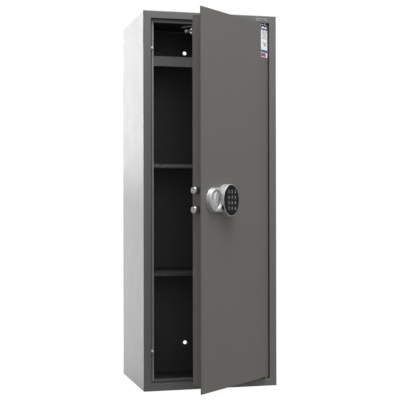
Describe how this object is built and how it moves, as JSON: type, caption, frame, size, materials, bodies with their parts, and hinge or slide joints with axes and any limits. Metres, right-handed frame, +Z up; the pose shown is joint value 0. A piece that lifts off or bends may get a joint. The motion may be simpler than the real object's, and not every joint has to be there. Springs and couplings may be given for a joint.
{
  "type": "gun safe",
  "caption": "Tall narrow steel gun safe with one hinged door, electronic keypad lock, turning knob, round bolts and fixed shelves.",
  "frame": {"origin": "centre of the base of the cabinet, on the floor it stands on", "axes": "+Z up, -Y out of the front of the cabinet, +X towards the hinge side of the door"},
  "size_m": [0.46, 0.6114, 1.252],
  "materials": {
    "outer_paint": "satin powder coat",
    "inner_paint": "satin powder coat",
    "cast_silver": "satin chrome",
    "bright_steel": "bright turned",
    "zinc_steel": "zinc plated",
    "brass": "plain",
    "black_plastic": "semi gloss",
    "key_rubber": "satin",
    "circuit_board": "solder mask",
    "pale_rubber": "matte"
  },
  "bodies": {
    "cabinet": {"left_side_panel": "outer_paint", "right_side_panel": "outer_paint", "top_panel": "outer_paint", "bottom_panel": "outer_paint", "back_panel": "outer_paint", "hinge_pin_bottom": "bright_steel", "hinge_pin_top": "bright_steel", "thrust_washer": "brass", "door_bumper_upper": "pale_rubber", "door_bumper_lower": "pale_rubber", "shelf_top": "inner_paint", "shelf_support_top_left": "inner_paint", "shelf_support_top_right": "inner_paint", "shelf_upper": "inner_paint", "shelf_support_upper_left": "inner_paint", "shelf_support_upper_right": "inner_paint", "shelf_lower": "inner_paint", "shelf_support_lower_left": "inner_paint", "shelf_support_lower_right": "inner_paint"},
    "door": {"door_plate": "outer_paint", "door_pan": "outer_paint", "door_back_cover": "outer_paint", "cover_screw_lower_lock_side": "bright_steel", "cover_screw_lower_hinge_side": "bright_steel", "cover_screw_upper_lock_side": "bright_steel", "cover_screw_upper_hinge_side": "bright_steel", "hinge_block_bottom": "zinc_steel", "hinge_block_top": "zinc_steel", "hook_bracket": "zinc_steel", "hook_knob": "bright_steel", "bolt_guide": "zinc_steel", "solenoid_body": "zinc_steel", "battery_tray": "black_plastic", "lock_housing": "cast_silver", "keypad_face": "black_plastic", "keypad_board": "circuit_board"},
    "knob": {"turn_knob": "cast_silver", "lock_spindle": "zinc_steel", "bolt_cam": "zinc_steel"},
    "bolts": {"bolt_upper": "bright_steel", "bolt_lower": "bright_steel", "bolt_carriage": "zinc_steel"},
    "plunger": {"solenoid_plunger": "bright_steel"},
    "port_cover": {"port_cover": "black_plastic"},
    "battery_lid": {"battery_lid": "black_plastic"},
    "key_01": {"key_01": "key_rubber"},
    "key_02": {"key_02": "key_rubber"},
    "key_03": {"key_03": "key_rubber"},
    "key_04": {"key_04": "key_rubber"},
    "key_05": {"key_05": "key_rubber"},
    "key_06": {"key_06": "key_rubber"},
    "key_07": {"key_07": "key_rubber"},
    "key_08": {"key_08": "key_rubber"},
    "key_09": {"key_09": "key_rubber"},
    "key_10": {"key_10": "key_rubber"},
    "key_11": {"key_11": "key_rubber"},
    "key_12": {"key_12": "key_rubber"}
  },
  "joints": [
    {"name": "door_hinge", "type": "hinge", "parent": "cabinet", "child": "door", "pos_m": [0.193, -0.171, 0.626], "axis": [0, 0, 1], "range_deg": [-40.2, 57.8]},
    {"name": "knob_turn", "type": "hinge", "parent": "door", "child": "knob", "pos_m": [-0.05357, -0.39049, 0.626], "axis": [0.6455, -0.7638, 0], "range_deg": [-90, 0]},
    {"name": "bolt_throw", "type": "slide", "parent": "door", "child": "bolts", "axis": [-0.7638, -0.6455, 0], "range_m": [-0.018, 0]},
    {"name": "plunger_slide", "type": "slide", "parent": "door", "child": "plunger", "axis": [-0.6455, 0.7638, 0], "range_m": [0, 0.0065]},
    {"name": "battery_lid_off", "type": "slide", "parent": "door", "child": "battery_lid", "axis": [-0.6455, 0.7638, 0], "range_m": [0, 0.03]},
    {"name": "port_cover_pull", "type": "slide", "parent": "door", "child": "port_cover", "axis": [-0.6897, -0.5828, -0.4297], "range_m": [0, 0.008]},
    {"name": "key_01_press", "type": "slide", "parent": "door", "child": "key_01", "axis": [-0.6455, 0.7638, 0], "range_m": [0, 0.0012], "stiffness_N_per_m": 400},
    {"name": "key_02_press", "type": "slide", "parent": "door", "child": "key_02", "axis": [-0.6455, 0.7638, 0], "range_m": [0, 0.0012], "stiffness_N_per_m": 400},
    {"name": "key_03_press", "type": "slide", "parent": "door", "child": "key_03", "axis": [-0.6455, 0.7638, 0], "range_m": [0, 0.0012], "stiffness_N_per_m": 400},
    {"name": "key_04_press", "type": "slide", "parent": "door", "child": "key_04", "axis": [-0.6455, 0.7638, 0], "range_m": [0, 0.0012], "stiffness_N_per_m": 400},
    {"name": "key_05_press", "type": "slide", "parent": "door", "child": "key_05", "axis": [-0.6455, 0.7638, 0], "range_m": [0, 0.0012], "stiffness_N_per_m": 400},
    {"name": "key_06_press", "type": "slide", "parent": "door", "child": "key_06", "axis": [-0.6455, 0.7638, 0], "range_m": [0, 0.0012], "stiffness_N_per_m": 400},
    {"name": "key_07_press", "type": "slide", "parent": "door", "child": "key_07", "axis": [-0.6455, 0.7638, 0], "range_m": [0, 0.0012], "stiffness_N_per_m": 400},
    {"name": "key_08_press", "type": "slide", "parent": "door", "child": "key_08", "axis": [-0.6455, 0.7638, 0], "range_m": [0, 0.0012], "stiffness_N_per_m": 400},
    {"name": "key_09_press", "type": "slide", "parent": "door", "child": "key_09", "axis": [-0.6455, 0.7638, 0], "range_m": [0, 0.0012], "stiffness_N_per_m": 400},
    {"name": "key_10_press", "type": "slide", "parent": "door", "child": "key_10", "axis": [-0.6455, 0.7638, 0], "range_m": [0, 0.0012], "stiffness_N_per_m": 400},
    {"name": "key_11_press", "type": "slide", "parent": "door", "child": "key_11", "axis": [-0.6455, 0.7638, 0], "range_m": [0, 0.0012], "stiffness_N_per_m": 400},
    {"name": "key_12_press", "type": "slide", "parent": "door", "child": "key_12", "axis": [-0.6455, 0.7638, 0], "range_m": [0, 0.0012], "stiffness_N_per_m": 400}
  ],
  "couplings": [
    {"joint": "bolt_throw", "follows": "knob_turn", "m_per_rad": 0.011459}
  ]
}
